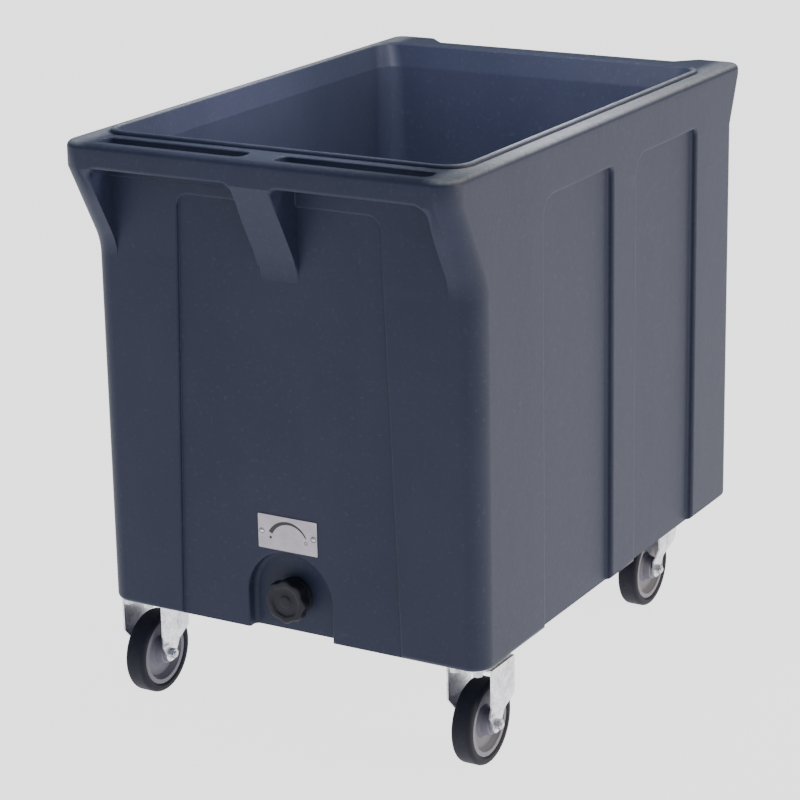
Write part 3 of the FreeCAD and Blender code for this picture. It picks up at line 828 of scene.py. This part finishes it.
# ---------------------------------------------------------------- the tub
@dataclass
class Tub:
    """The one-piece moulded tub: walls, ledge, gussets, ears, lip and well. Millimetres."""

    base_z: float = 160.0
    rim_z: float = 866.0
    foot_half: float = 314.0
    rim_half: float = 312.0
    front: float = -406.0
    back: float = 442.0
    ledge: float = -473.0
    ear: float = 473.0
    corner: float = 31.0
    back_corner: float = 22.0
    gusset_z: float = 708.0
    ledge_z: float = 830.0
    ear_foot_z: float = 775.0
    ear_z: float = 850.0
    foot_round: float = 8.0
    rim_round: float = 9.0
    gusset_half: float = 31.5
    gusset_edge: float = 3.0
    blend: float = 20.0
    pocket_half: float = 268.0
    pocket_corner: float = 17.0
    pocket_inner_corner: float = 13.0
    pocket_press: Press = Press(67.0, 6.0, 11.0, 6)
    slot_x: float = 144.5
    slot_half: float = 119.5
    slot_front: float = -452.0
    slot_back: float = -421.0
    slot_corner: float = 11.0
    slot_round: float = 3.0
    gap_foot: float = 207.0
    gap_head: float = 238.0
    gap_flare: float = 14.0
    panels: tuple = ((-214.0, 4.0), (85.0, 298.0))
    panel_top: float = 792.0
    panel_low: float = 140.0
    side_press: Press = Press(9.0, 5.0, 4.0)
    side_front_corner: float = 32.0
    side_back_corner: float = 12.0
    front_press: Press = Press(5.0, 3.5, 1.4)
    front_head_half: float = 163.0
    front_foot_half: float = 184.7
    front_corner: float = 20.0
    recess_press: Press = Press(18.0, 2.6, 7.0, 5, 2.6)
    recess_r: float = 70.0
    drain_z: float = 215.0
    spout_pocket_r: float = 17.0
    spout_pocket_depth: float = 40.0
    spout_pocket_middle: tuple = (0.0, -362.0, 164.0)
    pad_size: tuple = (72.0, 30.0, 82.0)
    pad_middle: tuple = (0.0, -354.0, 210.0)
    pad_round: float = 4.0
    floor_z: float = 186.0
    floor_round: float = 26.0
    corner_steps: int = 10
    parts: list[str] = field(default_factory=lambda: ["tub_shell", "grab_ledge", "corner_ears"])

    def half_at(self, z: float) -> float:
        """Half width of the walls at a height."""
        share = max(0.0, (z - self.base_z) / (self.rim_z - self.base_z))
        return self.foot_half + (self.rim_half - self.foot_half) * share

    def front_at(self, z: float) -> float:
        """Front face at a height, gussets included, with the gussets' feet blended in."""
        above = eased(z - self.gusset_z, self.blend)
        share = min(1.0, max(0.0, above / (self.ledge_z - self.gusset_z)))
        return self.front + (self.ledge - self.front) * share

    def back_at(self, z: float) -> float:
        """Back face at a height, ears included."""
        share = min(1.0, max(0.0, (z - self.ear_foot_z) / (self.ear_z - self.ear_foot_z)))
        return self.back + (self.ear - self.back) * share

    def outside(self) -> list[Section]:
        """Sections up the outside, from the underside to the flat of the rim."""
        found = []
        r = self.foot_round
        for turn in arc(0.0, 90.0, 4):
            inset = r * (1 - math.sin(turn))
            z = self.base_z + r * (1 - math.cos(turn))
            found.append(
                Section(z, self.foot_half - inset, self.front + inset, self.back - inset,
                        self.corner - inset, self.back_corner - inset)
            )
        foot = [self.gusset_z + self.blend * step / 4 for step in range(-4, 5)]
        for z in (*foot, self.ear_foot_z, self.ledge_z, self.ear_z, self.rim_z - self.rim_round):
            found.append(
                Section(z, self.half_at(z), self.front_at(z), self.back_at(z),
                        self.corner, self.back_corner)
            )
        r = self.rim_round
        for turn in arc(0.0, 90.0, 5)[1:]:
            inset = r * (1 - math.cos(turn))
            z = self.rim_z - r + r * math.sin(turn)
            found.append(
                Section(z, self.rim_half - inset, self.ledge + inset, self.ear - inset,
                        self.corner - inset, self.back_corner - inset)
            )
        return found

    def inside(self) -> list[Section]:
        """Sections over the lip and down the well to the floor."""
        lip = (
            (866.0, 290.5, 40.0), (866.6, 289.2, 39.0), (868.2, 288.8, 38.5), (870.4, 287.8, 37.6),
            (871.6, 286.4, 36.2), (872.0, 284.6, 34.6), (871.7, 282.4, 32.6), (870.4, 280.4, 31.0),
            (868.4, 279.2, 30.0),
        )
        found = [Section(z, half, -397.0 - (half - 279.0), 370.0 + (half - 279.0), r) for z, half, r in lip]
        found += [
            Section(841.0, 272.2, -378.8, 363.6, 33.0),
            Section(837.6, 270.8, -376.2, 362.6, 33.6),
            Section(834.0, 270.0, -374.8, 362.0, 34.0),
            Section(600.0, 262.5, -363.0, 353.3, 40.0),
            Section(380.0, 256.5, -353.5, 345.5, 45.0),
            Section(212.0, 252.6, -345.9, 338.8, 49.6),
        ]
        for turn in arc(0.0, 90.0, 5)[1:]:
            inset = self.floor_round * (1 - math.cos(turn))
            z = self.floor_z + self.floor_round * (1 - math.sin(turn))
            found.append(Section(z, 252.4 - inset, -345.6 + inset, 338.6 - inset, 50.0 - inset * 0.6))
        return found

    def body(self) -> bpy.types.Object:
        """The plain moulding before anything is pressed into it."""
        rings = [section.points(self.corner_steps) for section in self.outside() + self.inside()]
        return finish_mesh(skin(rings), "tub", Finish.TUB)

    def side_panel(self, y0: float, y1: float, side: int) -> bmesh.types.BMesh:
        """Tool for one panel pressed into a side wall.

        Args:
            y0: its front edge.
            y1: its back edge.
            side: 1 for the right-hand wall, -1 for the left.

        Returns:
            The tool.
        """

        def ring(depth: float, growth: float) -> list[Vector]:
            """Ring of the panel at a depth."""
            high = self.panel_top + growth
            shape = Outline((
                (y0 - growth, self.panel_low, SQUARE), (y1 + growth, self.panel_low, SQUARE),
                (y1 + growth, high, self.side_back_corner + growth),
                (y0 - growth, high, self.side_front_corner + growth),
            ))
            return [Vector((side * (self.half_at(v) - depth), u, v)) * MM for u, v in shape.points(8)]

        return self.side_press.tool(ring)

    def front_panel(self) -> bmesh.types.BMesh:
        """Tool for the wide, shallow panel in the front wall."""

        def ring(depth: float, growth: float) -> list[Vector]:
            """Ring of the panel at a depth."""
            low = self.panel_low
            high = self.panel_top + growth
            head = self.front_head_half + growth
            foot = self.front_foot_half + growth
            r = self.front_corner + growth
            shape = Outline(((-foot, low, SQUARE), (foot, low, SQUARE), (head, high, r), (-head, high, r)))
            return [Vector((u, self.front + depth, v)) * MM for u, v in shape.points(8)]

        return self.front_press.tool(ring)

    def drain_recess(self) -> bmesh.types.BMesh:
        """Tool for the arched recess round the drain knob."""

        def ring(depth: float, growth: float) -> list[Vector]:
            """Ring of the arch at a depth."""
            r = self.recess_r + growth
            face = self.front + self.front_press.depth
            points = [(-r, self.panel_low), (r, self.panel_low)]
            for turn in arc(0.0, 180.0, 40):
                points.append((r * math.cos(turn), self.drain_z + r * math.sin(turn)))
            return [Vector((u, face + depth, v)) * MM for u, v in points]

        return self.recess_press.tool(ring)

    def grip_pocket(self, side: int) -> bmesh.types.BMesh:
        """Tool for one open space under the ledge, from the middle gusset to a corner gusset.

        Args:
            side: 1 for the right-hand pocket, -1 for the left.

        Returns:
            The tool.
        """
        press = self.pocket_press
        wall = self.front + HAIR

        def ring(depth: float, growth: float) -> list[Vector]:
            """Ring of the pocket at a depth behind the gussets' sloping face."""
            low = self.gusset_z - self.blend - growth
            high = self.ledge_z + growth
            near = self.gusset_half - growth
            far = self.pocket_half + growth
            shape = Outline((
                (near, low, SQUARE), (far, low, SQUARE),
                (far, high, self.pocket_corner + growth), (near, high, self.pocket_inner_corner + growth),
            ))
            found = []
            for u, v in shape.points(10):
                found.append(Vector((side * u, min(self.front_at(v) + depth, wall), v)) * MM)
            return found

        levels = press.rings() + [(press.depth + 1.0, -press.foot - 0.02)]
        return skin([ring(depth, growth) for depth, growth in levels])

    def hand_slot(self, side: int) -> bmesh.types.BMesh:
        """Tool for one hand slot through the ledge.

        Args:
            side: 1 for the right-hand slot, -1 for the left.

        Returns:
            The tool.
        """
        shift = Vector((self.slot_x * side * MM, 0.0, 0.0))
        r = self.slot_round
        turns = arc(0.0, 90.0, 5)
        levels = [(self.rim_z + r, r)]
        levels += [(self.rim_z - r * (1 - math.cos(turn)), r * (1 - math.sin(turn))) for turn in turns]
        levels += [(self.ledge_z + r - r * math.sin(turn), r * (1 - math.cos(turn))) for turn in turns]
        levels += [(self.ledge_z - 4.0, r)]
        rings = []
        for z, growth in levels:
            section = Section(z, self.slot_half + growth, self.slot_front - growth,
                              self.slot_back + growth, self.slot_corner + growth)
            rings.append([point + shift for point in section.points(6)])
        return skin(rings)

    def back_gap(self) -> bmesh.types.BMesh:
        """Tool for the gap between the two corner ears."""

        def ring(z: float, growth: float) -> list[Vector]:
            """Ring of the gap at a height."""
            wall = self.back + HAIR - growth
            foot = self.gap_foot + growth * (math.sqrt(2) - 1)
            head = self.gap_head + growth * math.sqrt(2)
            wide = head + self.gap_flare
            near = self.ear + 0.3
            far = near + 20.0
            shape = Outline((
                (-foot, wall, 9.0), (foot, wall, 9.0), (head, near, 8.0), (wide, near, SQUARE),
                (wide, far, SQUARE), (-wide, far, SQUARE), (-wide, near, SQUARE), (-head, near, 8.0),
            ))
            return [Vector((u, v, z)) * MM for u, v in shape.points(6)]

        r = self.rim_round
        rings = [ring(self.ear_foot_z - 1.0, 0.0)]
        for turn in arc(0.0, 90.0, 5):
            rings.append(ring(self.rim_z - r + r * math.sin(turn), r * (1 - math.cos(turn))))
        return skin(rings + [ring(self.rim_z + 4.0, r)])

    def spout_pocket(self) -> bmesh.types.BMesh:
        """Tool for the round pocket in the underside where the drain spout ends."""
        mesh = bmesh.new()
        r = self.spout_pocket_r * MM
        place = Matrix.Translation(Vector(self.spout_pocket_middle) * MM)
        depth = self.spout_pocket_depth * MM
        bmesh.ops.create_cone(mesh, cap_ends=True, segments=48, radius1=r, radius2=r,
                              depth=depth, matrix=place)
        return mesh

    def middle_gusset(self) -> bmesh.types.BMesh:
        """The middle gusset's foot and core, down to the face of the front panel."""
        slope = (self.front - self.ledge) / (self.ledge_z - self.gusset_z)
        drop = self.front_press.depth
        face = self.front + drop
        foot_z = self.gusset_z - drop / slope

        def level(z: float) -> list[Vector]:
            """Ring of the gusset at a height."""
            above = eased(z - foot_z, self.blend)
            front = face - slope * max(above, -0.6) + 0.1
            return Section(z, self.gusset_half - 0.05, front, -390.0, self.gusset_edge).points(6)

        heights = [foot_z - self.blend - 1.0]
        heights += [foot_z + self.blend * step / 4 for step in range(-4, 5)]
        heights += [self.ledge_z - 0.1]
        return skin([level(z) for z in heights])

    def valve_pad(self) -> bmesh.types.BMesh:
        """The flat pad inside the well that the valve's locknut bears on."""
        mesh = bmesh.new()
        bmesh.ops.create_cube(mesh, size=1.0)
        bmesh.ops.scale(mesh, vec=Vector(self.pad_size) * MM, verts=mesh.verts)
        bmesh.ops.translate(mesh, vec=Vector(self.pad_middle) * MM, verts=mesh.verts)
        bmesh.ops.bevel(mesh, geom=mesh.edges[:], offset=self.pad_round * MM, affect="EDGES",
                        segments=4, profile=0.5, material=-1)
        return mesh

    def build(self) -> bpy.types.Object:
        """Builds the tub and hangs it on the frame.

        Returns:
            The finished tub.
        """
        tub = self.body()
        carve(tub, joined([self.grip_pocket(-1), self.grip_pocket(1)]), Cut.AWAY)
        panels = [self.side_panel(y0, y1, side) for y0, y1 in self.panels for side in (-1, 1)]
        slots = [self.hand_slot(-1), self.hand_slot(1)]
        carve(tub, joined(panels + slots + [self.back_gap(), self.spout_pocket()]), Cut.AWAY)
        carve(tub, self.front_panel(), Cut.AWAY)
        carve(tub, self.drain_recess(), Cut.AWAY)
        carve(tub, joined([self.middle_gusset(), self.valve_pad()]), Cut.ON)
        even_normals(tub, 38.0)
        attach(tub, "root")
        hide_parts(*self.parts)
        LOG.info("tub: %d faces", len(tub.data.polygons))
        return tub


# ---------------------------------------------------------------- drain knob
@dataclass
class DrainKnob:
    """The lobed knob that opens the drain, with a closed cap over its screw. Millimetres."""

    axis_z: float = 215.0
    face_y: float = -415.0
    back_y: float = -399.0
    skirt_y: float = -390.6
    tip_r: float = 33.0
    hollow_r: float = 29.7
    skirt_r: float = 20.4
    back_round: float = 1.6
    face_round: float = 2.6
    lobes: int = 8
    steps: int = 96
    dish: tuple = (
        (0.0, 7.5, 0.5), (0.25, 8.8, 0.3), (1.7, 10.4, 0.1), (2.0, 12.0, 0.0),
        (2.0, 21.5, 0.0), (1.7, 22.3, 0.0), (1.0, 23.0, 0.0), (0.8, 24.5, 0.0),
    )

    def ring(self, y: float, inset: float, share: float = 1.0) -> list[Vector]:
        """One lobed ring.

        Args:
            y: its place along the knob's axis.
            inset: how far inside the outline it lies.
            share: strength of the lobes, 1 for full and 0 for a plain circle.

        Returns:
            Points in metres.
        """
        middle = (self.tip_r + self.hollow_r) / 2
        swing = (self.tip_r - self.hollow_r) / 2 * share
        found = []
        for i in range(self.steps):
            turn = math.tau * i / self.steps
            r = middle + swing * math.cos(self.lobes * turn) - inset
            found.append(Vector((r * math.cos(turn), y, self.axis_z + r * math.sin(turn))) * MM)
        return found

    def build(self) -> None:
        """Builds the knob and hangs it on its body."""
        skirt = (self.tip_r + self.hollow_r) / 2 - self.skirt_r
        rings = [
            self.ring(self.skirt_y, skirt, 0.0),
            self.ring(self.back_y - 0.4, skirt, 0.0),
            self.ring(self.back_y, skirt - 0.6, 0.0),
        ]
        back = self.back_round
        for turn in arc(0.0, 90.0, 4):
            rings.append(self.ring(self.back_y - back * (1 - math.cos(turn)), back * (1 - math.sin(turn))))
        edge = self.face_round
        for turn in arc(0.0, 90.0, 6):
            y = self.face_y + edge * (1 - math.sin(turn))
            rings.append(self.ring(y, 0.15 + edge * (1 - math.cos(turn)), 1.0 - 0.25 * math.sin(turn)))
        rings += [self.ring(self.face_y + drop, inset, share) for drop, inset, share in self.dish]
        knob = finish_mesh(skin(rings), "knob", Finish.KNOB, 40.0)
        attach(knob, "knob")
        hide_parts("drain_knob", "knob_screw")
        LOG.info("knob: %d lobes", self.lobes)


# ---------------------------------------------------------------- carried-over parts
@dataclass
class Hardware:
    """The CAD parts that keep their shape and only take a finish."""

    by_slot: dict[str, Finish] = field(default_factory=lambda: {finish.slot: finish for finish in Finish})

    def dress(self, nodes: dict[str, bpy.types.Object], record: dict) -> None:
        """Gives each node its slot's finish.

        Args:
            nodes: CAD objects by name.
            record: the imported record, whose subparts name the slots.
        """
        for part in record["subparts"]:
            node = nodes[part["node"]]
            finish = self.by_slot[part["material_slot"]]
            node.data.materials.clear()
            node.data.materials.append(finish.material)
        LOG.info("hardware: %d parts dressed", len(record["subparts"]))


# ---------------------------------------------------------------- studio
class Glow(Enum):
    """The two sorts of lamp."""

    PANEL = "AREA"
    SKYLIGHT = "SUN"


@dataclass(frozen=True)
class Lamp:
    """One soft lamp aimed at a point. Its size is metres for a panel and degrees for a skylight."""

    name: str
    glow: Glow
    place: tuple[float, float, float]
    aim: tuple[float, float, float]
    size: float
    power: float
    tint: tuple[float, float, float] = (1.0, 1.0, 1.0)

    def hang(self) -> None:
        """Adds the light."""
        data = bpy.data.lights.new(self.name, self.glow.value)
        data.energy = self.power
        data.color = self.tint
        if self.glow is Glow.PANEL:
            data.shape = "SQUARE"
            data.size = self.size
        else:
            data.angle = math.radians(self.size)
        lamp = bpy.data.objects.new(self.name, data)
        lamp.location = self.place
        aim = Vector(self.aim) - Vector(self.place)
        lamp.rotation_euler = aim.to_track_quat("-Z", "Y").to_euler()
        bpy.context.scene.collection.objects.link(lamp)


@dataclass
class Studio:
    """Camera, pale floor, soft lights and an even surround."""

    place: tuple = (1.9146, -3.3707, 1.6220)
    azimuth: float = 30.18
    elevation: float = 17.49
    roll: float = -1.07
    lens: float = 119.62
    sensor: float = 36.0
    far_clip: float = 60.0
    floor_half: float = 14.0
    sky_colour: tuple = shade(0.62, 0.80, 1.0)
    sky_strength: float = 0.45
    lamps: tuple = (
        Lamp("side", Glow.PANEL, (3.6, 0.9, 1.5), (0.3, 0.0, 0.5), 2.0, 165.0, (1.0, 0.87, 0.58)),
        Lamp("top", Glow.PANEL, (0.4, -0.5, 4.0), (0.0, 0.25, 0.4), 1.6, 34.0, (1.0, 0.98, 0.96)),
        Lamp("well", Glow.PANEL, (0.16, -0.28, 1.27), (-0.12, 0.36, 0.93), 0.3, 15.0),
        Lamp("sky", Glow.SKYLIGHT, (1.6, 2.4, 6.0), (0.0, 0.0, 0.0), 40.0, 0.5, (1.0, 0.99, 0.97)),
    )

    def shoot(self) -> None:
        """Sets up the camera."""
        data = bpy.data.cameras.new("camera")
        data.lens = self.lens
        data.sensor_width = self.sensor
        data.clip_end = self.far_clip
        camera = bpy.data.objects.new("camera", data)
        a = math.radians(self.azimuth)
        e = math.radians(self.elevation)
        back = Vector((math.sin(a) * math.cos(e), -math.cos(a) * math.cos(e), math.sin(e)))
        right = Vector((0.0, 0.0, 1.0)).cross(back).normalized()
        up = back.cross(right)
        turn = math.radians(self.roll)
        across = right * math.cos(turn) + up * math.sin(turn)
        above = up * math.cos(turn) - right * math.sin(turn)
        frame_axes = Matrix((across, above, back)).transposed()
        camera.matrix_world = Matrix.Translation(self.place) @ frame_axes.to_4x4()
        bpy.context.scene.collection.objects.link(camera)
        bpy.context.scene.camera = camera

    def floor(self) -> None:
        """Lays the floor."""
        mesh = bmesh.new()
        bmesh.ops.create_grid(mesh, x_segments=4, y_segments=4, size=self.floor_half)
        data = bpy.data.meshes.new("floor")
        mesh.to_mesh(data)
        mesh.free()
        data.materials.append(PaleFloor().make())
        floor = bpy.data.objects.new("floor", data)
        bpy.context.scene.collection.objects.link(floor)

    def surround(self) -> None:
        """Lights the scene evenly from all round."""
        world = bpy.data.worlds.new("surround")
        world.use_nodes = True
        sky = world.node_tree.nodes["Background"]
        sky.inputs["Color"].default_value = self.sky_colour
        sky.inputs["Strength"].default_value = self.sky_strength
        bpy.context.scene.world = world

    def build(self) -> None:
        """Sets up the whole studio."""
        self.shoot()
        self.floor()
        self.surround()
        for lamp in self.lamps:
            lamp.hang()
        LOG.info("studio: %d lamps", len(self.lamps))


def main() -> None:
    """Builds the tote's looks, piece by piece."""
    logging.basicConfig(level=logging.INFO, format="%(name)s %(message)s")
    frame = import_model()
    Hardware().dress(frame["nodes"], frame["record"])
    Tub().build()
    DrainKnob().build()
    Studio().build()


if __name__ == "__main__":
    main()
